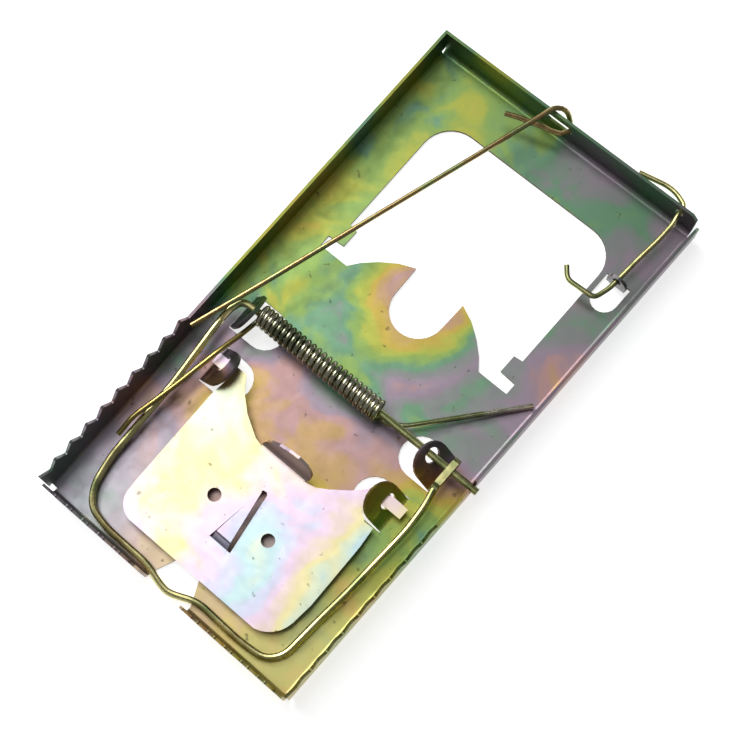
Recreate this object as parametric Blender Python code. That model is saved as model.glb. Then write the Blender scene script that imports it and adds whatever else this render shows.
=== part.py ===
"""Stamped steel snap mouse trap: a folded tray, a spring-loaded wire jaw, its torsion spring,
a locking bar, a small hook wire and a bait pedal.

Lengths below are in millimetres and are turned into metres when a mesh is made.
X runs across the tray, Y runs from the toothed near wall to the far wall, and Z is up.
The origin is the middle of the tray's underside.
"""

import bpy
import bmesh
import math
from mathutils import Vector
from mathutils.geometry import delaunay_2d_cdt

MM = 0.001

# Sheet and tray
SHEET = 0.5
FOLD_INNER = 0.8
FOLD_NEUTRAL = FOLD_INNER + SHEET / 2
FOLD_OUTER = FOLD_INNER + SHEET
TRAY_HALF_WIDTH = 26.3
TRAY_HALF_LENGTH = 50.0
WALL_TOP = 6.0
TOOTH_RISE = 2.2
TOOTH_FLAT = 0.5
FOLD_STEPS = 4
LUG_FOLD_STEPS = 3

# Side walls
SIDE_TOOTH_START = -14.0
SIDE_TOOTH_PITCH = 3.7
SIDE_TOOTH_COUNT = 9
SIDE_FOLD_GAP = 0.05
FOLD_GAP_X = 0.02
CORNER_TRIM = 1.0
WALL_MEETS_NEAR = -49.35
LEFT_MEETS_FAR = 49.45
RIGHT_MEETS_FAR = 48.95

# Near wall
NEAR_TOOTH_PITCH = 3.45
NEAR_LEFT_END = -24.9
NEAR_LEFT_VALLEY = -23.66
NEAR_LEFT_COUNT = 5
NEAR_RIGHT_END = 25.7
NEAR_RIGHT_VALLEY = 6.73
NEAR_RIGHT_COUNT = 5
NOTCH_LEFT = -3.9
NOTCH_RIGHT = 4.7
NOTCH_INNER_LEFT = -1.9
NOTCH_INNER_RIGHT = 2.6
NOTCH_DEPTH = -44.0

# Far wall
FAR_LEFT_END = -26.28
FAR_LEFT_FOLD_END = -25.75
FAR_RIGHT_END = 25.2
BAR_SLOT_LEFT = -4.7
BAR_SLOT_RIGHT = 0.6
BAR_SLOT_HEIGHT = 1.6
HOOK_WALL_HOLE_RADIUS = 0.8

# Window in the floor
WINDOW_CENTRE = 0.4
WINDOW_HALF = 18.2
WINDOW_FAR = 40.3
WINDOW_CORNER = 5.5
WINDOW_TAB = [(18.2, 16.0), (16.6, 15.8), (16.6, 12.5), (19.7, 12.3), (19.7, 10.2)]
WINDOW_HORN = [(14.0, 10.2), (12.5, 12.1), (10.3, 14.1), (7.7, 15.9), (4.95, 17.1)]
WINDOW_THROAT_RADIUS = 4.8
WINDOW_THROAT_CENTRE = 11.9

# Lugs bent up out of the floor: distances of the feet from the centre line, and angles in degrees
LUG_SLIT = 0.2
SPRING_LUG_FOOT = 21.7
SPRING_LUG_Y = -6.5
SPRING_LUG_HALF = 3.6
SPRING_LUG_HOLE = 8.7
LEFT_LUG_ANGLE = 67.0
RIGHT_LUG_ANGLE = 50.0
PEDAL_LUG_FOOT = 19.5
PEDAL_LUG_Y = -16.35
PEDAL_LUG_HALF = 3.65
PEDAL_LUG_HOLE = 7.8
PEDAL_LUG_ANGLE = 50.0
LUG_LENGTH = 8.1
PEDAL_LUG_LENGTH = 7.3
AXLE_HOLE_RADIUS = 1.4
EAR_SLOT_LONG = 3.0
EAR_SLOT_HIGH = 2.1

# Hook lug
HOOK_LUG_FOOT = 36.0
HOOK_LUG_X = 21.8
HOOK_LUG_HALF = 1.75
HOOK_HOLE_HALF = 2.3
HOOK_HOLE_LENGTH = 6.0
HOOK_LUG_LENGTH = 5.0
HOOK_LUG_ANGLE = 88.0
HOOK_LUG_HOLE_RADIUS = 0.75

# Jaw
JAW_RADIUS = 0.625
AXLE_Y = -5.8
AXLE_Z = 4.1
AXLE_END = 27.2
JAW_REST = 1.43
EYE_X = 21.7
EYE_THICK = 1.1
EYE_HEIGHT = 2.6
EYE_BACK = 2.2
EYE_FRONT = 4.3
EYE_HOLE_RADIUS = 0.72
AXLE_NOTCH_HALF = 0.88

# Torsion spring
SPRING_WIRE = 0.45
SPRING_RADIUS = 1.5
SPRING_LEFT = -17.9
SPRING_RIGHT = 7.4
SPRING_TURNS = 25
SPRING_OPEN_SHARE = 0.10

# Locking bar and hook wire
THIN_RADIUS = 0.435
BAR_AXIS_Y = 49.75
BAR_AXIS_Z = 5.36
BAR_LOOP_RADIUS = 1.43
HOOK_WALL_POINT = (22.1, 49.75, 4.0)
HOOK_LUG_POINT = (21.8, 35.3, 3.6)

# Pedal
PEDAL_TOP = 2.5
PEDAL_AXIS_Y = -15.6
CATCH_Y = -21.9
CATCH_ANGLE = 80.0
CATCH_LEFT = -3.9
CATCH_RIGHT = 6.1
PEDAL_HOLE_RADIUS = 1.17
PEDAL_HOLES = [(-4.14, -32.76), (7.30, -32.72)]
TONGUE_BASE_Y = -38.2
TONGUE_POINT_Y = -27.6
TONGUE_STEP_HEIGHT = 1.1
TONGUE_TIP_HEIGHT = 1.5
TONGUE_STEP_LENGTH = 1.3
TONGUE_GAP_LEFT = 0.4
TONGUE_GAP_RIGHT = 0.65

WIRE_SIDES = 12
SPRING_SIDES = 6
SPRING_STEPS = 12


# ---------------------------------------------------------------- outlines

def arc(cx, cy, radius, start, end, steps):
    """Points on a circle from one angle to another, in degrees."""
    points = []
    for i in range(steps + 1):
        a = math.radians(start + (end - start) * i / steps)
        points.append((cx + radius * math.cos(a), cy + radius * math.sin(a)))
    return points


def circle(cx, cy, radius, steps=16):
    return arc(cx, cy, radius, 0, 360, steps)[:-1]


def obround(cx, cy, half_long, half_high, steps=6):
    """A slot along X: half_long and half_high are its overall half sizes."""
    run = half_long - half_high
    return (arc(cx + run, cy, half_high, -90, 90, steps)
            + arc(cx - run, cy, half_high, 90, 270, steps))


def teeth(start, pitch, count, base, rise):
    """A saw-tooth edge of (along, out) pairs, from a valley at start to a valley count teeth later."""
    half = TOOTH_FLAT / 2
    sign = 1 if pitch > 0 else -1
    points = []
    for i in range(count):
        valley = start + pitch * i
        tip = valley + pitch / 2
        points.append((valley + sign * half * 0.5, base))
        points.append((tip - sign * half, base + rise * 0.93))
        points.append((tip, base + rise))
        points.append((tip + sign * half, base + rise * 0.93))
        points.append((valley + pitch - sign * half * 0.5, base))
    return points


# ---------------------------------------------------------------- sheet metal

FOLD_RUN = FOLD_NEUTRAL * math.pi / 2
FLAT_X = TRAY_HALF_WIDTH - FOLD_OUTER
FLAT_Y = TRAY_HALF_LENGTH - FOLD_OUTER


def wall_reach(height):
    """How far past the fold line a point of a vertical wall lies in the flat blank."""
    return FOLD_RUN + height - FOLD_OUTER


def tab_reach(height, angle):
    """How far past its fold line a point of a bent tab lies in the blank, for a height of its middle."""
    a = math.radians(angle)
    end_height = FOLD_OUTER - FOLD_NEUTRAL * math.cos(a)
    return FOLD_NEUTRAL * a + (height - end_height) / math.sin(a)


def fold(reach, level, angle):
    """Where a blank point goes when its sheet is folded up: (out, height) from the fold line."""
    a = math.radians(angle)
    radius = FOLD_OUTER - level
    run = FOLD_NEUTRAL * a
    turn = min(reach / FOLD_NEUTRAL, a)
    rest = max(reach - run, 0.0)
    out = radius * math.sin(turn) + rest * math.cos(a)
    height = FOLD_OUTER - radius * math.cos(turn) + rest * math.sin(a)
    return out, height


def inside(point, loop):
    """Even-odd test of a point against a closed outline."""
    x, y = point
    hit = False
    for (x0, y0), (x1, y1) in zip(loop, loop[1:] + loop[:1]):
        if (y0 > y) != (y1 > y) and x < x0 + (y - y0) * (x1 - x0) / (y1 - y0):
            hit = not hit
    return hit


def sheet_mesh(outline, holes, fold_lines, shape):
    """A closed sheet: the flat outline is triangulated, given its thickness and folded by shape()."""
    points = []
    edges = []
    for loop in [outline] + holes:
        first = len(points)
        points += [Vector(p) for p in loop]
        edges += [(first + i, first + (i + 1) % len(loop)) for i in range(len(loop))]
    for a, b in fold_lines:
        edges.append((len(points), len(points) + 1))
        points += [Vector(a), Vector(b)]
    flat, _, faces, _, _, _ = delaunay_2d_cdt(points, edges, [], 0, 1e-5)
    kept = []
    for face in faces:
        centre = sum((flat[i] for i in face), Vector((0.0, 0.0))) / len(face)
        if inside(centre, outline) and not any(inside(centre, hole) for hole in holes):
            kept.append(face)
    mesh = bmesh.new()
    layers = []
    for level in (0.0, SHEET):
        layers.append([mesh.verts.new(Vector(shape(p.x, p.y, level)) * MM) for p in flat])
    rim = {}
    for face in kept:
        mesh.faces.new([layers[1][i] for i in face])
        mesh.faces.new([layers[0][i] for i in reversed(face)])
        for a, b in zip(face, face[1:] + face[:1]):
            rim[(a, b)] = rim.get((a, b), 0) + 1
    for a, b in rim:
        if (b, a) not in rim:
            mesh.faces.new([layers[1][b], layers[1][a], layers[0][a], layers[0][b]])
    loose = [v for v in mesh.verts if not v.link_faces]
    bmesh.ops.delete(mesh, geom=loose, context="VERTS")
    bmesh.ops.recalc_face_normals(mesh, faces=mesh.faces)
    return mesh


# ---------------------------------------------------------------- tray

class Lug:
    """A tab with a round end, cut out of the floor and bent up about its foot."""

    def __init__(self, foot, inward, half, hole_half, length, hole_length, angle):
        self.foot = Vector(foot)
        self.inward = Vector(inward)
        self.across = Vector((-inward[1], inward[0]))
        self.half = half
        self.hole_half = hole_half
        self.length = length
        self.hole_length = hole_length
        self.angle = angle

    def point(self, reach, across):
        p = self.foot + self.inward * reach + self.across * across
        return (p.x, p.y)

    def slit(self):
        """The cut round the tab: out along the hole's edge and back along the tab's edge."""
        steps = 10
        hole_run = self.hole_length - self.hole_half
        tab_run = self.length - self.half
        points = [self.point(0.0, -self.hole_half)]
        for a, b in arc(hole_run, 0, self.hole_half, -90, 90, steps):
            points.append(self.point(a, b))
        points.append(self.point(0.0, self.hole_half))
        points.append(self.point(0.0, self.half))
        for a, b in arc(tab_run, 0, self.half, 90, -90, steps):
            points.append(self.point(a, b))
        points.append(self.point(0.0, -self.half))
        return points

    def fold_lines(self):
        run = FOLD_NEUTRAL * math.radians(self.angle)
        lines = []
        for i in range(LUG_FOLD_STEPS + 1):
            reach = run * i / LUG_FOLD_STEPS
            lines.append((self.point(reach, -self.half), self.point(reach, self.half)))
        return lines

    def reach_of(self, x, y):
        """How far a blank point lies along this tab, or None when it is not on the tab."""
        offset = Vector((x, y)) - self.foot
        along = offset.dot(self.inward)
        across = abs(offset.dot(self.across))
        round_from = self.length - self.half
        slack = 0.02
        if along <= 0.0 or across > self.half + slack:
            return None
        if along > round_from and math.hypot(along - round_from, across) > self.half + slack:
            return None
        return along

    def shape(self, x, y, level):
        """Folded position, or None when the point is not on this tab."""
        along = self.reach_of(x, y)
        if along is None:
            return None
        out, height = fold(along, level, self.angle)
        moved = Vector((x, y)) + self.inward * (out - along)
        return (moved.x, moved.y, height)


def side_lug(side, foot, y, half, hole_length, length, angle):
    return Lug((side * foot, y), (-side, 0.0), half - LUG_SLIT, half, length, hole_length, angle)


def tray_lugs():
    left = side_lug(-1, SPRING_LUG_FOOT, SPRING_LUG_Y, SPRING_LUG_HALF, SPRING_LUG_HOLE,
                    LUG_LENGTH, LEFT_LUG_ANGLE)
    right = side_lug(1, SPRING_LUG_FOOT, SPRING_LUG_Y, SPRING_LUG_HALF, SPRING_LUG_HOLE,
                     LUG_LENGTH, RIGHT_LUG_ANGLE)
    pedal_left = side_lug(-1, PEDAL_LUG_FOOT, PEDAL_LUG_Y, PEDAL_LUG_HALF, PEDAL_LUG_HOLE,
                          PEDAL_LUG_LENGTH, PEDAL_LUG_ANGLE)
    pedal_right = side_lug(1, PEDAL_LUG_FOOT, PEDAL_LUG_Y, PEDAL_LUG_HALF, PEDAL_LUG_HOLE,
                           PEDAL_LUG_LENGTH, PEDAL_LUG_ANGLE)
    hook = Lug((HOOK_LUG_X, HOOK_LUG_FOOT), (0.0, -1.0), HOOK_LUG_HALF, HOOK_HOLE_HALF,
               HOOK_LUG_LENGTH, HOOK_HOLE_LENGTH, HOOK_LUG_ANGLE)
    return [left, right], [pedal_left, pedal_right], hook


def window_loop():
    """The large opening in the floor, the same on both sides of its centre line."""
    half = []
    corner = WINDOW_HALF - WINDOW_CORNER
    half += arc(corner, WINDOW_FAR - WINDOW_CORNER, WINDOW_CORNER, 90, 0, 8)
    half += WINDOW_TAB + WINDOW_HORN
    half += arc(0, WINDOW_THROAT_CENTRE, WINDOW_THROAT_RADIUS, 0, -90, 8)
    right = [(WINDOW_CENTRE + x, y) for x, y in half]
    left = [(WINDOW_CENTRE - x, y) for x, y in reversed(half[:-1])]
    return right + left


def side_wall(side, edge):
    """One side flap of the blank from its near end to its far end, as (x, y) points."""
    base = FLAT_X + FOLD_GAP_X
    folded = FLAT_X + FOLD_RUN
    first = SIDE_TOOTH_START - SIDE_TOOTH_PITCH * SIDE_TOOTH_COUNT
    near = -FLAT_Y + SIDE_FOLD_GAP
    far = FLAT_Y - SIDE_FOLD_GAP
    meets_far = RIGHT_MEETS_FAR if side > 0 else LEFT_MEETS_FAR
    points = [(base, near), (folded, near), (folded, WALL_MEETS_NEAR)]
    points.append((FLAT_X + edge + TOOTH_RISE * 0.95, WALL_MEETS_NEAR))
    saw = teeth(first, SIDE_TOOTH_PITCH, SIDE_TOOTH_COUNT, edge, TOOTH_RISE)
    points += [(FLAT_X + out, y) for y, out in saw]
    if side > 0:
        notch_bottom = FLAT_X + wall_reach(AXLE_Z)
        points.append((FLAT_X + edge, AXLE_Y - AXLE_NOTCH_HALF))
        points += [(notch_bottom + a, AXLE_Y + b) for a, b in arc(0, 0, AXLE_NOTCH_HALF, -90, -270, 8)]
        points.append((FLAT_X + edge, AXLE_Y + AXLE_NOTCH_HALF))
    if side > 0:
        points.append((FLAT_X + edge, meets_far - CORNER_TRIM))
        points.append((FLAT_X + edge - CORNER_TRIM, meets_far))
    else:
        points.append((FLAT_X + edge, meets_far))
    points += [(folded, meets_far), (folded, far), (base, far)]
    return [(side * x, y) for x, y in points]


def tray_outline():
    """The flat blank, anticlockwise from the left end of the near wall."""
    edge = wall_reach(WALL_TOP)
    near_edge = -FLAT_Y - edge
    points = [(NEAR_LEFT_END, -FLAT_Y), (NEAR_LEFT_END, near_edge - TOOTH_RISE * 0.8)]
    for x, out in teeth(NEAR_LEFT_VALLEY, NEAR_TOOTH_PITCH, NEAR_LEFT_COUNT, edge, TOOTH_RISE):
        points.append((x, -FLAT_Y - out))
    points += [(NOTCH_LEFT - 1.0, near_edge - TOOTH_RISE), (NOTCH_LEFT, near_edge - TOOTH_RISE)]
    points += [(NOTCH_LEFT, -FLAT_Y), (NOTCH_INNER_LEFT, NOTCH_DEPTH)]
    points += [(NOTCH_INNER_RIGHT, NOTCH_DEPTH), (NOTCH_RIGHT, -FLAT_Y)]
    points += [(NOTCH_RIGHT, near_edge - TOOTH_RISE), (NOTCH_RIGHT + 0.5, near_edge - TOOTH_RISE)]
    for x, out in teeth(NEAR_RIGHT_VALLEY, NEAR_TOOTH_PITCH, NEAR_RIGHT_COUNT, edge, TOOTH_RISE):
        points.append((x, -FLAT_Y - out))
    points.append((NEAR_RIGHT_END, near_edge - TOOTH_RISE * 0.9))
    points.append((NEAR_RIGHT_END, -FLAT_Y - SIDE_FOLD_GAP))
    points.append((FLAT_X, -FLAT_Y))
    points += side_wall(1, edge)
    far_edge = FLAT_Y + edge
    points += [(FLAT_X, FLAT_Y), (FAR_RIGHT_END, FLAT_Y + SIDE_FOLD_GAP)]
    points += [(FAR_RIGHT_END, far_edge - CORNER_TRIM), (FAR_RIGHT_END - CORNER_TRIM, far_edge)]
    folded = FLAT_Y + FOLD_RUN + FOLD_GAP_X
    points += [(FAR_LEFT_END, far_edge), (FAR_LEFT_END, folded), (FAR_LEFT_FOLD_END, folded)]
    points += [(FAR_LEFT_FOLD_END, FLAT_Y + SIDE_FOLD_GAP), (-FLAT_X, FLAT_Y)]
    points += reversed(side_wall(-1, edge))
    return points


def tray_fold_lines():
    near = -FLAT_Y + SIDE_FOLD_GAP
    far = FLAT_Y - SIDE_FOLD_GAP
    lines = []
    for i in range(FOLD_STEPS + 1):
        step = FOLD_RUN * i / FOLD_STEPS
        lines.append(((FLAT_X + step, near), (FLAT_X + step, far)))
        lines.append(((-FLAT_X - step, near), (-FLAT_X - step, far)))
        lines.append(((NEAR_LEFT_END, -FLAT_Y - step), (NEAR_RIGHT_END, -FLAT_Y - step)))
        lines.append(((FAR_LEFT_FOLD_END, FLAT_Y + step), (FAR_RIGHT_END, FLAT_Y + step)))
    return lines


def make_tray():
    spring_lugs, pedal_lugs, hook_lug = tray_lugs()
    lugs = spring_lugs + pedal_lugs + [hook_lug]
    holes = [window_loop()] + [lug.slit() for lug in lugs]
    for lug in spring_lugs:
        hole_x = lug.point(tab_reach(AXLE_Z, lug.angle), 0.0)[0]
        holes.append(circle(hole_x, AXLE_Y, AXLE_HOLE_RADIUS))
    for lug in pedal_lugs:
        slot_x = lug.point(tab_reach(PEDAL_TOP - SHEET / 2, lug.angle), 0.0)[0]
        slot = obround(PEDAL_AXIS_Y, slot_x, EAR_SLOT_LONG / 2, EAR_SLOT_HIGH / 2)
        holes.append([(y, x) for x, y in slot])
    hook_hole = HOOK_LUG_FOOT - tab_reach(HOOK_LUG_POINT[2], hook_lug.angle)
    holes.append(circle(HOOK_LUG_POINT[0], hook_hole, HOOK_LUG_HOLE_RADIUS, 12))
    bar_slot_y = FLAT_Y + wall_reach(BAR_AXIS_Z - BAR_LOOP_RADIUS)
    bar_slot_x = (BAR_SLOT_LEFT + BAR_SLOT_RIGHT) / 2
    bar_slot_half = (BAR_SLOT_RIGHT - BAR_SLOT_LEFT) / 2
    holes.append(obround(bar_slot_x, bar_slot_y, bar_slot_half, BAR_SLOT_HEIGHT / 2))
    hook_y = FLAT_Y + wall_reach(HOOK_WALL_POINT[2])
    holes.append(circle(HOOK_WALL_POINT[0], hook_y, HOOK_WALL_HOLE_RADIUS, 12))
    lines = tray_fold_lines()
    for lug in lugs:
        lines += lug.fold_lines()

    def shape(x, y, level):
        for lug in lugs:
            moved = lug.shape(x, y, level)
            if moved is not None:
                return moved
        if y < -FLAT_Y and abs(x) < TRAY_HALF_WIDTH:
            out, height = fold(-FLAT_Y - y, level, 90)
            return (x, -FLAT_Y - out, height)
        if y > FLAT_Y and abs(x) < TRAY_HALF_WIDTH:
            out, height = fold(y - FLAT_Y, level, 90)
            return (x, FLAT_Y + out, height)
        if abs(x) > FLAT_X:
            side = 1 if x > 0 else -1
            out, height = fold(abs(x) - FLAT_X, level, 90)
            return (side * (FLAT_X + out), y, height)
        return (x, y, level)

    return sheet_mesh(tray_outline(), holes, lines, shape)


# ---------------------------------------------------------------- pedal

def pedal_outline():
    """The pedal's blank, anticlockwise from its near left corner."""
    near = arc(-11.5, -41.0, 3.8, 190, 262, 6)
    near += arc(13.4, -39.3, 5.5, 285, 352, 6)
    right = [(19.2, -36.0), (18.9, -24.0), (18.5, -20.4), (16.8, -20.5), (15.5, -19.4)]
    right += [(15.3, -17.4), (15.3, -16.6), (20.7, -16.6), (20.7, -14.6), (14.7, -14.4)]
    arcs = [(13.6, -16.3), (11.9, -18.1), (9.2, -20.2), (7.3, -21.4), (5.6, -21.7)]
    lobe = [(5.2, 0.0), (5.9, 0.9), (CATCH_RIGHT, 2.7), (5.8, 4.3), (4.8, 5.5), (3.2, 6.0)]
    lobe += [(1.2, 5.7), (-0.7, 4.8), (-2.3, 3.4), (-3.4, 1.8), (CATCH_LEFT, 0.6), (-3.6, 0.0)]
    catch = [(x, CATCH_Y + reach) for x, reach in lobe]
    left = [(-5.3, -21.5), (-8.9, -19.4), (-11.7, -17.0), (-13.4, -14.6)]
    left += [(-19.2, -14.6), (-19.2, -16.6), (-15.3, -16.6), (-15.4, -18.5), (-15.6, -20.3)]
    left += [(-15.5, -30.0), (-15.4, -39.3)]
    return near + right + arcs + catch + left


def tongue_edge(share, side):
    """X of the tongue's edge, where share runs from 0 at its root to 1 at its point."""
    middle = 1.75 - 0.25 * share
    return middle + side * (1.55 * (1 - share) + 0.12)


def pedal_slit():
    """The narrow cut round the tongue, which stays joined at its near end."""
    run = TONGUE_POINT_Y - TONGUE_BASE_Y
    left_out = (tongue_edge(0.0, -1) - TONGUE_GAP_LEFT, TONGUE_BASE_Y)
    right_out = (tongue_edge(0.0, 1) + TONGUE_GAP_RIGHT, TONGUE_BASE_Y)
    tip_left = (tongue_edge(1.0, -1) - TONGUE_GAP_LEFT / 2, TONGUE_POINT_Y + 0.2)
    tip_right = (tongue_edge(1.0, 1) + TONGUE_GAP_RIGHT * 1.2, TONGUE_POINT_Y + 0.2)
    points = [right_out, tip_right, (tip_right[0] - 0.4, TONGUE_POINT_Y + 0.6)]
    points += [(tip_left[0] + 0.2, TONGUE_POINT_Y + 0.5), tip_left, left_out]
    shares = [0.0, TONGUE_STEP_LENGTH / 2 / run, TONGUE_STEP_LENGTH / run, 0.6, 1.0]
    points += [(tongue_edge(s, -1), TONGUE_BASE_Y + run * s) for s in shares]
    points += [(tongue_edge(s, 1), TONGUE_BASE_Y + run * s) for s in reversed(shares)]
    return points


def on_tongue(x, y):
    run = TONGUE_POINT_Y - TONGUE_BASE_Y
    share = (y - TONGUE_BASE_Y) / run
    slack = 0.01
    if share <= 0.0 or share > 1.0 + slack:
        return False
    return tongue_edge(share, -1) - slack <= x <= tongue_edge(share, 1) + slack


def tongue_lift(y):
    """A steep step at the root, then a gentle rise to the point."""
    along = y - TONGUE_BASE_Y
    run = TONGUE_POINT_Y - TONGUE_BASE_Y
    if along < TONGUE_STEP_LENGTH:
        share = along / TONGUE_STEP_LENGTH
        return TONGUE_STEP_HEIGHT * share * share * (3 - 2 * share)
    share = (along - TONGUE_STEP_LENGTH) / (run - TONGUE_STEP_LENGTH)
    return TONGUE_STEP_HEIGHT + (TONGUE_TIP_HEIGHT - TONGUE_STEP_HEIGHT) * share


def make_pedal():
    base = PEDAL_TOP - SHEET
    run = TONGUE_POINT_Y - TONGUE_BASE_Y
    holes = [circle(x, y, PEDAL_HOLE_RADIUS, 20) for x, y in PEDAL_HOLES] + [pedal_slit()]
    lines = []
    catch_run = FOLD_NEUTRAL * math.radians(CATCH_ANGLE)
    for i in range(FOLD_STEPS + 1):
        y = CATCH_Y + catch_run * i / FOLD_STEPS
        lines.append(((CATCH_LEFT, y), (CATCH_RIGHT, y)))
    for i in range(FOLD_STEPS + 1):
        share = TONGUE_STEP_LENGTH / run * i / FOLD_STEPS
        y = TONGUE_BASE_Y + run * share
        lines.append(((tongue_edge(share, -1), y), (tongue_edge(share, 1), y)))

    def shape(x, y, level):
        if CATCH_LEFT <= x <= CATCH_RIGHT and y > CATCH_Y:
            out, height = fold(y - CATCH_Y, level, CATCH_ANGLE)
            return (x, CATCH_Y + out, base + height)
        if on_tongue(x, y):
            return (x, y, base + level + tongue_lift(y))
        return (x, y, base + level)

    return sheet_mesh(pedal_outline(), holes, lines, shape)


# ---------------------------------------------------------------- wires

def smooth_path(points, radius, steps=5):
    """Rounds each inner corner of a path with a short curve that starts up to radius from it."""
    points = [Vector(p) for p in points]
    path = [points[0]]
    for before, corner, after in zip(points, points[1:], points[2:]):
        back = before - corner
        ahead = after - corner
        reach_back = min(radius, back.length * 0.45)
        reach_ahead = min(radius, ahead.length * 0.45)
        start = corner + back.normalized() * reach_back
        end = corner + ahead.normalized() * reach_ahead
        for i in range(steps + 1):
            t = i / steps
            path.append(start * (1 - t) ** 2 + corner * 2 * t * (1 - t) + end * t ** 2)
    path.append(points[-1])
    return path


def wire_mesh(path, radius, sides):
    """A round wire along a path, with flat closed ends."""
    path = [Vector(p) for p in path]
    mesh = bmesh.new()
    tangent = (path[1] - path[0]).normalized()
    helper = Vector((0, 0, 1)) if abs(tangent.z) < 0.9 else Vector((1, 0, 0))
    side = tangent.cross(helper).normalized()
    rings = []
    for i, centre in enumerate(path):
        before = path[max(i - 1, 0)]
        after = path[min(i + 1, len(path) - 1)]
        new_tangent = (after - before).normalized()
        side = tangent.rotation_difference(new_tangent) @ side
        side = (side - new_tangent * side.dot(new_tangent)).normalized()
        tangent = new_tangent
        up = tangent.cross(side)
        ring = []
        for k in range(sides):
            a = 2 * math.pi * k / sides
            offset = (side * math.cos(a) + up * math.sin(a)) * radius
            ring.append(mesh.verts.new((centre + offset) * MM))
        rings.append(ring)
    for ring, following in zip(rings, rings[1:]):
        for k in range(sides):
            n = (k + 1) % sides
            mesh.faces.new([ring[k], ring[n], following[n], following[k]])
    mesh.faces.new(list(reversed(rings[0])))
    mesh.faces.new(rings[-1])
    bmesh.ops.recalc_face_normals(mesh, faces=mesh.faces)
    return mesh


def jaw_path():
    axle = [(AXLE_END, AXLE_Y, AXLE_Z), (-21.5, AXLE_Y, AXLE_Z)]
    left = [(-22.45, -8.1, 4.2), (-22.3, -11.6, 4.15), (-21.5, -23.2, 3.0), (-21.35, -38.7, 1.9)]
    near = [(-20.4, -44.2, 1.55), (-18.2, -47.3, JAW_REST), (-14.0, -48.15, JAW_REST)]
    near += [(-5.2, -48.15, JAW_REST), (-0.9, -49.3, JAW_REST), (0.9, -49.3, JAW_REST)]
    near += [(5.2, -47.35, JAW_REST), (14.3, -47.6, JAW_REST), (19.0, -47.1, JAW_REST)]
    near += [(21.1, -44.6, JAW_REST)]
    right = [(21.55, -36.6, 1.6), (22.1, -30.8, 2.3), (22.75, -17.3, 3.4), (22.4, -12.5, 3.85)]
    right += [(EYE_X, AXLE_Y - 3.9, AXLE_Z), (EYE_X, AXLE_Y - 3.1, AXLE_Z)]
    return smooth_path(axle + left + near + right, 1.7, 4)


def eye_mesh():
    """The flattened end of the jaw: an upright strip with a hole round the axle."""
    half = EYE_HEIGHT / 2
    outline = arc(AXLE_Y, AXLE_Z, half, -70, 70, 8)
    outline += [(AXLE_Y - EYE_FRONT + 1.2, AXLE_Z + half * 0.9)]
    outline += arc(AXLE_Y - EYE_FRONT + 0.7, AXLE_Z, 0.7, 90, 270, 6)
    outline += [(AXLE_Y - EYE_FRONT + 1.2, AXLE_Z - half * 0.9)]
    outline = [(y + (EYE_BACK - half if y > AXLE_Y else 0.0), z) for y, z in outline]
    hole = circle(AXLE_Y, AXLE_Z, EYE_HOLE_RADIUS, 16)
    stretch = EYE_THICK / SHEET

    def shape(y, z, level):
        return (EYE_X + (level - SHEET / 2) * stretch, y, z)

    return sheet_mesh(outline, [hole], [], shape)


def spring_path():
    """Leg over the left arm, the coil round the axle, and the leg that bears on the floor."""
    coil = []
    start = -103.0
    turn = 360.0 * SPRING_TURNS
    steps = SPRING_STEPS * SPRING_TURNS
    length = SPRING_RIGHT - SPRING_LEFT
    for i in range(steps + 1):
        share = i / steps
        a = math.radians(start + (turn + 15.0) * share)
        swell = SPRING_OPEN_SHARE * math.sin(2 * math.pi * share) / (2 * math.pi)
        x = SPRING_LEFT + length * (share - swell)
        y = AXLE_Y + SPRING_RADIUS * math.cos(a)
        z = AXLE_Z + SPRING_RADIUS * math.sin(a)
        coil.append((x, y, z))
    left = [(-22.6, -35.6, 3.0), (-22.5, -31.9, 3.95), (-21.5, -27.9, 4.25), (-20.5, -23.4, 4.4)]
    left += [(-19.0, -14.7, 4.35), (-18.15, -9.5, 3.45)]
    right = [(8.9, -6.4, 2.5), (11.8, -4.4, 2.4), (24.6, 11.2, 1.05)]
    left_leg = smooth_path(left + [coil[0]], 1.2, 3)
    right_leg = smooth_path([coil[-1]] + right, 1.0, 3)
    return left_leg[:-1] + coil + right_leg[1:]


def bar_path():
    """Tip, straight run, half turn round the wall's rim, and the tail inside."""
    straight = [(-25.0, -14.7, 5.5), (-20.9, -2.6, 5.75), (-8.1, 36.4, 6.6)]
    loop = []
    for i in range(9):
        share = i / 8
        a = math.radians(90 - 180 * share)
        x = -3.9 + 4.0 * share
        y = BAR_AXIS_Y + BAR_LOOP_RADIUS * math.cos(a)
        z = BAR_AXIS_Z + BAR_LOOP_RADIUS * math.sin(a)
        loop.append((x, y, z))
    bottom = BAR_AXIS_Z - BAR_LOOP_RADIUS
    tail = [(-0.9, 48.3, bottom), (-2.3, 47.75, bottom), (-3.9, 47.5, bottom), (-7.6, 46.4, bottom)]
    tail.append((-10.0, 45.5, bottom))
    return straight + loop + smooth_path(tail, 0.6, 3)


def hook_path():
    z_wall = HOOK_WALL_POINT[2]
    z_lug = HOOK_LUG_POINT[2]
    points = [(13.0, 50.95, z_wall), (17.7, 51.95, z_wall), (19.6, 51.9, z_wall), (22.1, 51.0, z_wall)]
    points += [(22.15, 48.9, z_wall), (22.5, 47.5, z_wall - 0.05), (22.45, 44.0, z_wall - 0.1)]
    points += [(22.0, 39.4, z_lug + 0.1), (HOOK_LUG_POINT[0], 35.6, z_lug)]
    points += [(21.6, 33.0, z_lug), (20.8, 30.3, z_lug), (15.6, 30.05, z_lug), (14.1, 31.7, z_lug + 0.3)]
    return smooth_path(points, 0.9, 4)


# ---------------------------------------------------------------- objects

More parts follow.
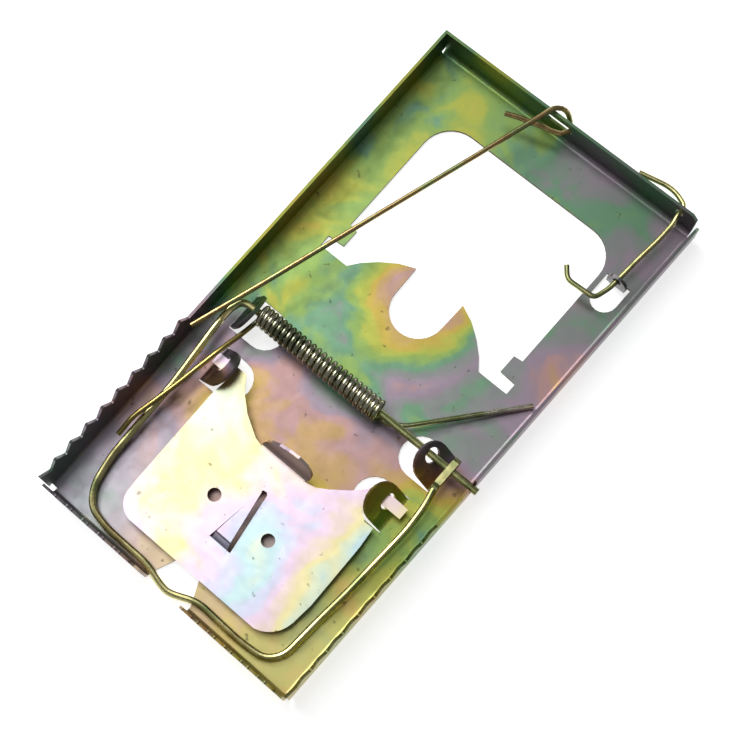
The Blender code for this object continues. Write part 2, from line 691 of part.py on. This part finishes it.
def material(name, colour, roughness):
    mat = bpy.data.materials.new(name)
    mat.use_nodes = True
    shader = mat.node_tree.nodes["Principled BSDF"]
    shader.inputs["Base Color"].default_value = (*colour, 1.0)
    shader.inputs["Metallic"].default_value = 1.0
    shader.inputs["Roughness"].default_value = roughness
    return mat


def add_object(name, mesh, mat, origin=(0.0, 0.0, 0.0)):
    """Links a mesh as an object whose origin is given in millimetres."""
    data = bpy.data.meshes.new(name)
    shift = Vector(origin) * MM
    bmesh.ops.translate(mesh, verts=mesh.verts, vec=-shift)
    mesh.to_mesh(data)
    mesh.free()
    for polygon in data.polygons:
        polygon.use_smooth = True
    data.set_sharp_from_angle(angle=math.radians(32))
    data.materials.append(mat)
    thing = bpy.data.objects.new(name, data)
    thing.location = shift
    bpy.context.scene.collection.objects.link(thing)
    return thing


def main():
    for thing in list(bpy.data.objects):
        bpy.data.objects.remove(thing)

    zinc = material("zinc_plate", (0.55, 0.53, 0.36), 0.3)
    pale = material("pale_zinc_plate", (0.78, 0.74, 0.70), 0.3)
    wire = material("zinc_wire", (0.42, 0.40, 0.22), 0.3)
    bar_wire = material("zinc_bar_wire", (0.42, 0.40, 0.22), 0.3)
    hook_wire = material("zinc_hook_wire", (0.42, 0.40, 0.22), 0.3)
    dark = material("spring_steel", (0.25, 0.25, 0.20), 0.3)

    axle = (0.0, AXLE_Y, AXLE_Z)
    add_object("base_tray", make_tray(), zinc)
    add_object("pedal", make_pedal(), pale, (0.0, PEDAL_AXIS_Y, PEDAL_TOP - SHEET / 2))
    jaw = add_object("jaw_bar", wire_mesh(jaw_path(), JAW_RADIUS, WIRE_SIDES), wire, axle)
    add_object("torsion_spring", wire_mesh(spring_path(), SPRING_WIRE, SPRING_SIDES), dark, axle)
    add_object("locking_bar", wire_mesh(bar_path(), THIN_RADIUS, WIRE_SIDES), bar_wire,
               (0.0, BAR_AXIS_Y, BAR_AXIS_Z))
    add_object("hook_wire", wire_mesh(hook_path(), THIN_RADIUS, WIRE_SIDES), hook_wire, HOOK_WALL_POINT)

    eye = add_object("eye_shape", eye_mesh(), wire)
    eye.hide_render = True
    eye.display_type = "WIRE"
    joined = jaw.modifiers.new("eye", "BOOLEAN")
    joined.operation = "UNION"
    joined.solver = "EXACT"
    joined.object = eye


main()
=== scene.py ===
"""Looks of the stamped steel mouse trap: plated sheet and wire materials, a finer torsion spring,
a pale floor, soft studio light and the camera."""

import math

import bpy
from mathutils import Matrix, Vector


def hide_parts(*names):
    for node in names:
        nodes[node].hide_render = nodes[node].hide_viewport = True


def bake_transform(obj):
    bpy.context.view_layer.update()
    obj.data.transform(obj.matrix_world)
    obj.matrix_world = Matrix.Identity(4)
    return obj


MM = 0.001

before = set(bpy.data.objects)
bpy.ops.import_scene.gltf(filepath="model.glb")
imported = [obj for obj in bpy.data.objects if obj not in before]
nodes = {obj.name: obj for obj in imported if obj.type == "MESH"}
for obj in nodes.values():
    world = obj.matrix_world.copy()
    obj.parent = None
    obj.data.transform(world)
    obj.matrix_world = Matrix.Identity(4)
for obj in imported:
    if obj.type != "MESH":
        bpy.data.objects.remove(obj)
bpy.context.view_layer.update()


# ---------------------------------------------------------------- node helpers

class Graph:
    """Small helper for building a material's node tree."""

    def __init__(self, name, roughness):
        self.material = bpy.data.materials.new(name)
        self.material.use_nodes = True
        self.tree = self.material.node_tree
        self.shader = self.tree.nodes["Principled BSDF"]
        self.shader.inputs["Metallic"].default_value = 1.0
        self.shader.inputs["Roughness"].default_value = roughness
        self.place = self.tree.nodes.new("ShaderNodeTexCoord").outputs["Object"]

    def mapped(self, scale=(1, 1, 1), shift=(0, 0, 0), turn=0.0):
        node = self.tree.nodes.new("ShaderNodeMapping")
        node.inputs["Scale"].default_value = scale
        node.inputs["Location"].default_value = shift
        node.inputs["Rotation"].default_value = (0, 0, math.radians(turn))
        self.tree.links.new(self.place, node.inputs["Vector"])
        return node.outputs["Vector"]

    def noise(self, scale, detail=3.0, rough=0.55, distortion=0.0, stretch=(1, 1, 1),
              shift=(0, 0, 0), turn=0.0):
        node = self.tree.nodes.new("ShaderNodeTexNoise")
        node.inputs["Scale"].default_value = scale
        node.inputs["Detail"].default_value = detail
        node.inputs["Roughness"].default_value = rough
        node.inputs["Distortion"].default_value = distortion
        self.tree.links.new(self.mapped(stretch, shift, turn), node.inputs["Vector"])
        return node.outputs["Fac"]

    def split(self):
        node = self.tree.nodes.new("ShaderNodeSeparateXYZ")
        self.tree.links.new(self.place, node.inputs[0])
        return node.outputs

    def normal_split(self):
        geometry = self.tree.nodes.new("ShaderNodeNewGeometry")
        node = self.tree.nodes.new("ShaderNodeSeparateXYZ")
        self.tree.links.new(geometry.outputs["True Normal"], node.inputs[0])
        return node.outputs

    def math(self, kind, a, b=None):
        node = self.tree.nodes.new("ShaderNodeMath")
        node.operation = kind
        for socket, value in zip(node.inputs, (a, b)):
            if value is None:
                continue
            if isinstance(value, (int, float)):
                socket.default_value = value
            else:
                self.tree.links.new(value, socket)
        return node.outputs[0]

    def spread(self, value, low, high, out_low=0.0, out_high=1.0):
        node = self.tree.nodes.new("ShaderNodeMapRange")
        node.inputs["From Min"].default_value = low
        node.inputs["From Max"].default_value = high
        node.inputs["To Min"].default_value = out_low
        node.inputs["To Max"].default_value = out_high
        self.tree.links.new(value, node.inputs["Value"])
        return node.outputs["Result"]

    def ramp(self, value, stops):
        node = self.tree.nodes.new("ShaderNodeValToRGB")
        node.color_ramp.interpolation = "EASE"
        elements = node.color_ramp.elements
        elements[0].position = stops[0][0]
        elements[0].color = (*stops[0][1], 1.0)
        elements[1].position = stops[-1][0]
        elements[1].color = (*stops[-1][1], 1.0)
        for position, colour in stops[1:-1]:
            element = elements.new(position)
            element.color = (*colour, 1.0)
        self.tree.links.new(value, node.inputs["Fac"])
        return node.outputs["Color"]

    def mix(self, factor, first, second):
        node = self.tree.nodes.new("ShaderNodeMix")
        node.data_type = "RGBA"
        for name, value in (("Factor", factor), ("A", first), ("B", second)):
            socket = [s for s in node.inputs if s.name == name and s.enabled][0]
            if isinstance(value, tuple):
                socket.default_value = (*value, 1.0)
            elif isinstance(value, (int, float)):
                socket.default_value = value
            else:
                self.tree.links.new(value, socket)
        return [s for s in node.outputs if s.enabled][0]

    def add(self, *values):
        """Sum of two or more values."""
        total = values[0]
        for value in values[1:]:
            total = self.math("ADD", total, value)
        return total

    def times(self, a, b):
        return self.math("MULTIPLY", a, b)

    def link(self, value, name):
        self.tree.links.new(value, self.shader.inputs[name])

    def bump(self, height, strength, distance):
        node = self.tree.nodes.new("ShaderNodeBump")
        node.inputs["Strength"].default_value = strength
        node.inputs["Distance"].default_value = distance
        self.tree.links.new(height, node.inputs["Height"])
        self.tree.links.new(node.outputs["Normal"], self.shader.inputs["Normal"])


def linear(red, green, blue):
    """Display colour from 0 to 255, as the renderer's linear value."""
    values = []
    for channel in (red, green, blue):
        c = channel / 255.0
        values.append(c / 12.92 if c <= 0.04045 else ((c + 0.055) / 1.055) ** 2.4)
    return tuple(values)


# Interference colours of the plating, in the order they follow each other as the film thickens
GOLD = linear(204, 180, 92)
OLIVE = linear(184, 190, 92)
GREEN = linear(150, 180, 104)
TEAL = linear(122, 164, 132)
GREY = linear(148, 152, 150)
LILAC = linear(166, 150, 164)
PINK = linear(192, 156, 154)
TAN = linear(200, 166, 122)

# The same film on the pedal, where it is thin and almost white
PASTELS = [
    linear(232, 222, 168), linear(216, 226, 198), linear(194, 220, 222), linear(208, 210, 230),
    linear(228, 206, 224), linear(232, 212, 204), linear(232, 222, 168),
]


def even_stops(colours):
    """Evenly spaced colour stops."""
    return [(i / (len(colours) - 1), colour) for i, colour in enumerate(colours)]


FILM = even_stops([TAN, GOLD, OLIVE, GREEN, TEAL, GREY, LILAC, PINK, TAN])
PASTEL_FILM = even_stops(PASTELS)


# Places on the tray that the film follows, in metres
THROAT_X = 0.0004
THROAT_Y = 0.0119
THROAT_RADIUS = 0.0048
RING_RADIUS = 0.0128
RING_WIDTH = 0.006
SHEET_TOP = 0.00057

NEAR_LILAC = linear(206, 208, 218)
NEAR_GOLD = linear(252, 236, 180)
SHEARED_EDGE = linear(74, 62, 40)
# Painted shade colour, mixed into the tray's walls, lugs and floor
STANDING_SHADE = linear(46, 40, 26)
SPECK = linear(80, 72, 52)


def tray_level(g, x, y):
    """Film thickness over the tray: it drifts across, rings the window's throat and steps near the coil."""
    across = g.spread(x, -0.026, 0.026, -0.72, -0.22)
    from_x = g.math("SUBTRACT", x, THROAT_X)
    from_y = g.math("SUBTRACT", y, THROAT_Y)
    reach = g.math("SQRT", g.add(g.times(from_x, from_x), g.times(from_y, from_y)))
    rim = g.spread(reach, THROAT_RADIUS, 0.018, -0.30, 0.14)
    from_ring = g.math("ABSOLUTE", g.math("SUBTRACT", reach, RING_RADIUS))
    ring = g.spread(from_ring, 0.0, RING_WIDTH, 0.36, 0.0)
    near = g.spread(y, -0.002, -0.012, 0.0, 0.46)
    return g.add(across, rim, ring, near, 0.92)


def tray_shading(g, colour, x, y, z):
    """Paler film at the near end, brown sheared edges, and painted shade that darkens the walls and lugs,
    and the floor a little.
    """
    near_tint = g.mix(g.spread(x, -0.02, 0.012), NEAR_LILAC, NEAR_GOLD)
    colour = g.mix(g.spread(y, -0.022, -0.040, 0.0, 0.40), colour, near_tint)
    upright = g.spread(g.math("ABSOLUTE", g.normal_split()[2]), 0.9, 0.5)
    in_sheet = g.spread(z, SHEET_TOP + 0.00005, SHEET_TOP - 0.00005)
    colour = g.mix(g.times(upright, in_sheet), colour, SHEARED_EDGE)
    # Painted shade: darkens the colour towards STANDING_SHADE with height, by a tenth at the floor and by
    # about two fifths on walls and lugs above 3 mm.
    return g.mix(g.spread(z, 0.0008, 0.0030, 0.10, 0.42), colour, STANDING_SHADE)


def plated_sheet(name, roughness, tray=False):
    """Pressed sheet under a film whose colour drifts, with specks and a soft waviness."""
    g = Graph(name, roughness)
    x, y, z = g.split()
    broad = g.noise(34.0, 1.6, 0.5, 0.7, (1.2, 0.75, 1.0), (0.013, 0.0, 0.0), 25.0)
    middle = g.noise(95.0, 2.0, 0.5, 0.8, shift=(0.21, 0.4, 0.0))
    fine = g.noise(420.0, 4.0, 0.6, 0.3, shift=(0.3, 0.1, 0.0))
    level = g.add(g.times(broad, 0.9), g.times(middle, 0.80), g.times(fine, 0.10))
    if tray:
        level = g.add(level, tray_level(g, x, y))
        colour = tray_shading(g, g.ramp(g.math("FRACT", level), FILM), x, y, z)
    else:
        level = g.add(level, g.times(broad, 1.6))
        colour = g.ramp(g.math("FRACT", level), PASTEL_FILM)
    specks = g.noise(700.0, 2.0, 0.5, shift=(0.1, 0.5, 0.2))
    colour = g.mix(g.spread(specks, 0.70, 0.75, 0.0, 0.55), colour, SPECK)
    g.link(colour, "Base Color")
    g.link(g.spread(fine, 0.3, 0.7, roughness - 0.05, roughness + 0.08), "Roughness")
    g.bump(g.noise(60.0, 3.0, 0.5, shift=(0.2, 0.9, 0.6)), 0.2, 0.0003)
    return g.material


LEG_BEGINS = -0.0076
LEG_FULL = -0.0090


def plated_wire(name, light, dark, roughness, leg=None):
    """Plated wire, mottled between two colours, with the spring's left leg in its own colour if given."""
    g = Graph(name, roughness)
    broad = g.noise(90.0, 3.0, 0.6, 0.3)
    colour = g.ramp(broad, [(0.3, dark), (0.5, light), (0.62, linear(160, 168, 112)), (0.75, light)])
    fine = g.noise(900.0, 3.0, 0.6)
    colour = g.mix(g.spread(fine, 0.55, 0.75, 0.0, 0.5), colour, dark)
    if leg:
        colour = g.mix(g.spread(g.split()[1], LEG_BEGINS, LEG_FULL), colour, leg)
    g.link(colour, "Base Color")
    g.link(g.spread(fine, 0.3, 0.7, roughness - 0.06, roughness + 0.08), "Roughness")
    g.bump(fine, 0.15, 0.00006)
    return g.material


def dress(thing, material):
    thing.data.materials.clear()
    thing.data.materials.append(material)


tray_material = plated_sheet("iridescent_plate", 0.43, True)
pedal_material = plated_sheet("pale_iridescent_plate", 0.32)
wire_material = plated_wire("olive_gold_wire", linear(226, 218, 154), linear(160, 144, 96), 0.28)
bar_material = plated_wire("brown_gold_wire", linear(178, 154, 104), linear(122, 92, 62), 0.30)
spring_material = plated_wire("spring_wire", linear(222, 218, 194), linear(120, 128, 100), 0.22,
                              linear(172, 154, 90))

dress(nodes["base_tray"], tray_material)
dress(nodes["pedal"], pedal_material)
dress(nodes["locking_bar"], bar_material)
for name in ("jaw_bar", "hook_wire"):
    dress(nodes[name], wire_material)


def soften(thing, width):
    """Rounds the sheared edges a little and keeps the flat faces flat."""
    bevel = thing.modifiers.new("sheared_edge", "BEVEL")
    bevel.width = width
    bevel.segments = 2
    bevel.limit_method = "ANGLE"
    bevel.angle_limit = math.radians(32.0)
    weighted = thing.modifiers.new("flat_faces", "WEIGHTED_NORMAL")
    weighted.keep_sharp = True


EDGE_RADIUS = 0.09 * MM

soften(nodes["base_tray"], EDGE_RADIUS)
soften(nodes["pedal"], EDGE_RADIUS)


# ---------------------------------------------------------------- torsion spring

AXLE_Y = -5.8
AXLE_Z = 4.1
SPRING_WIRE = 0.45
SPRING_RADIUS = 1.5
SPRING_LEFT = -17.9
SPRING_RIGHT = 7.4
SPRING_TURNS = 25
SPRING_STEPS = 28
SPRING_SIDES = 14
SPRING_OPEN_SHARE = 0.10


def smooth_path(points, radius, steps):
    """Rounds each inner corner of a path with a short curve that starts up to radius from it."""
    points = [Vector(p) for p in points]
    path = [points[0]]
    for before, corner, after in zip(points, points[1:], points[2:]):
        back = before - corner
        ahead = after - corner
        start = corner + back.normalized() * min(radius, back.length * 0.45)
        end = corner + ahead.normalized() * min(radius, ahead.length * 0.45)
        for i in range(steps + 1):
            t = i / steps
            path.append(start * (1 - t) ** 2 + corner * 2 * t * (1 - t) + end * t ** 2)
    path.append(points[-1])
    return path


def wire_piece(name, path, radius, sides, material):
    """A round wire along a path given in millimetres, with flat closed ends."""
    path = [Vector(p) for p in path]
    tangent = (path[1] - path[0]).normalized()
    helper = Vector((0, 0, 1)) if abs(tangent.z) < 0.9 else Vector((1, 0, 0))
    side = tangent.cross(helper).normalized()
    vertices = []
    faces = []
    rings = []
    for i, centre in enumerate(path):
        before = path[max(i - 1, 0)]
        after = path[min(i + 1, len(path) - 1)]
        new_tangent = (after - before).normalized()
        side = tangent.rotation_difference(new_tangent) @ side
        side = (side - new_tangent * side.dot(new_tangent)).normalized()
        tangent = new_tangent
        up = tangent.cross(side)
        rings.append(len(vertices))
        for k in range(sides):
            a = 2 * math.pi * k / sides
            offset = (side * math.cos(a) + up * math.sin(a)) * radius
            vertices.append((centre + offset) * MM)
    for first, second in zip(rings, rings[1:]):
        for k in range(sides):
            n = (k + 1) % sides
            faces.append((first + k, first + n, second + n, second + k))
    faces.append(tuple(reversed(range(sides))))
    faces.append(tuple(rings[-1] + k for k in range(sides)))
    data = bpy.data.meshes.new(name)
    data.from_pydata([tuple(v) for v in vertices], [], faces)
    for polygon in data.polygons:
        polygon.use_smooth = True
    data.set_sharp_from_angle(angle=math.radians(50))
    data.materials.append(material)
    thing = bpy.data.objects.new(name, data)
    bpy.context.scene.collection.objects.link(thing)
    return thing


def spring_path():
    """Leg over the left arm, the coil round the axle, and the leg that bears on the floor."""
    coil = []
    steps = SPRING_STEPS * SPRING_TURNS
    length = SPRING_RIGHT - SPRING_LEFT
    for i in range(steps + 1):
        share = i / steps
        a = math.radians(-103.0 + (360.0 * SPRING_TURNS + 15.0) * share)
        swell = SPRING_OPEN_SHARE * math.sin(2 * math.pi * share) / (2 * math.pi)
        x = SPRING_LEFT + length * (share - swell)
        y = AXLE_Y + SPRING_RADIUS * math.cos(a)
        z = AXLE_Z + SPRING_RADIUS * math.sin(a)
        coil.append((x, y, z))
    left = [(-22.6, -35.6, 3.0), (-22.5, -31.9, 3.95), (-21.5, -27.9, 4.25), (-20.5, -23.4, 4.4)]
    left += [(-19.0, -14.7, 4.35), (-18.15, -9.5, 3.45)]
    right = [(8.9, -6.4, 2.5), (11.8, -4.4, 2.4), (24.6, 11.2, 1.05)]
    left_leg = smooth_path(left + [coil[0]], 1.2, 6)
    right_leg = smooth_path([coil[-1]] + right, 1.0, 6)
    return left_leg[:-1] + coil + right_leg[1:]


spring = wire_piece("torsion_spring_wire", spring_path(), SPRING_WIRE, SPRING_SIDES, spring_material)
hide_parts("torsion_spring")
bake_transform(spring)


# ---------------------------------------------------------------- floor, light and camera

FLOOR_HALF = 1.5
FLOOR_GLOW = 0.70
FLOOR_DROP = 0.00005


def stage_floor():
    """A pale floor with a faint glow, just under the tray."""
    size = FLOOR_HALF
    data = bpy.data.meshes.new("studio_floor")
    corners = [(-size, -size, 0), (size, -size, 0), (size, size, 0), (-size, size, 0)]
    data.from_pydata(corners, [], [(0, 1, 2, 3)])
    material = bpy.data.materials.new("studio_floor")
    material.use_nodes = True
    shader = material.node_tree.nodes["Principled BSDF"]
    shader.inputs["Base Color"].default_value = (0.93, 0.93, 0.93, 1.0)
    shader.inputs["Roughness"].default_value = 0.9
    shader.inputs["Specular IOR Level"].default_value = 0.1
    shader.inputs["Emission Color"].default_value = (1.0, 1.0, 1.0, 1.0)
    shader.inputs["Emission Strength"].default_value = FLOOR_GLOW
    data.materials.append(material)
    floor = bpy.data.objects.new("studio_floor", data)
    floor.location = (0.0, 0.0, -FLOOR_DROP)
    bpy.context.scene.collection.objects.link(floor)


def area_light(name, place, size, power):
    """A rectangular soft box aimed at the origin."""
    data = bpy.data.lights.new(name, "AREA")
    data.shape = "RECTANGLE"
    data.size = size[0]
    data.size_y = size[1]
    data.energy = power
    light = bpy.data.objects.new(name, data)
    light.location = place
    light.rotation_euler = (-Vector(place)).to_track_quat("-Z", "Y").to_euler()
    bpy.context.scene.collection.objects.link(light)


def studio():
    world = bpy.data.worlds.new("studio")
    bpy.context.scene.world = world
    world.use_nodes = True
    background = world.node_tree.nodes["Background"]
    background.inputs["Color"].default_value = (0.95, 0.97, 1.0, 1.0)
    background.inputs["Strength"].default_value = 0.15
    area_light("slanted_softbox", (-0.43, 0.06, 0.72), (0.64, 0.84), 3.2)
    area_light("key_softbox", (-0.64, 0.14, 0.66), (0.20, 0.20), 2.6)
    bpy.context.scene.view_settings.view_transform = "Standard"


CAMERA_AZIMUTH = 72.20
CAMERA_ELEVATION = 77.73
CAMERA_ROLL = 41.70
CAMERA_DISTANCE = 0.231743
CAMERA_TARGET = Vector((-0.003452, -0.033872, 0.0))
CAMERA_FOCAL = 68.88
CAMERA_SHIFT = (0.2138, 0.1739)


def camera():
    az = math.radians(CAMERA_AZIMUTH)
    el = math.radians(CAMERA_ELEVATION)
    roll = math.radians(CAMERA_ROLL)
    back = Vector((math.cos(el) * math.sin(az), -math.cos(el) * math.cos(az), math.sin(el)))
    level = Vector((0, 1, 0)).cross(back).normalized()
    rise = back.cross(level)
    right = math.cos(roll) * level + math.sin(roll) * rise
    up = -math.sin(roll) * level + math.cos(roll) * rise
    place = CAMERA_TARGET + back * CAMERA_DISTANCE
    data = bpy.data.cameras.new("camera")
    data.lens = CAMERA_FOCAL
    data.sensor_width = 36.0
    data.shift_x = CAMERA_SHIFT[0]
    data.shift_y = CAMERA_SHIFT[1]
    data.clip_start = 0.01
    thing = bpy.data.objects.new("camera", data)
    thing.matrix_world = Matrix((
        (right.x, up.x, back.x, place.x),
        (right.y, up.y, back.y, place.y),
        (right.z, up.z, back.z, place.z),
        (0, 0, 0, 1),
    ))
    bpy.context.scene.collection.objects.link(thing)
    bpy.context.scene.camera = thing


stage_floor()
studio()
camera()
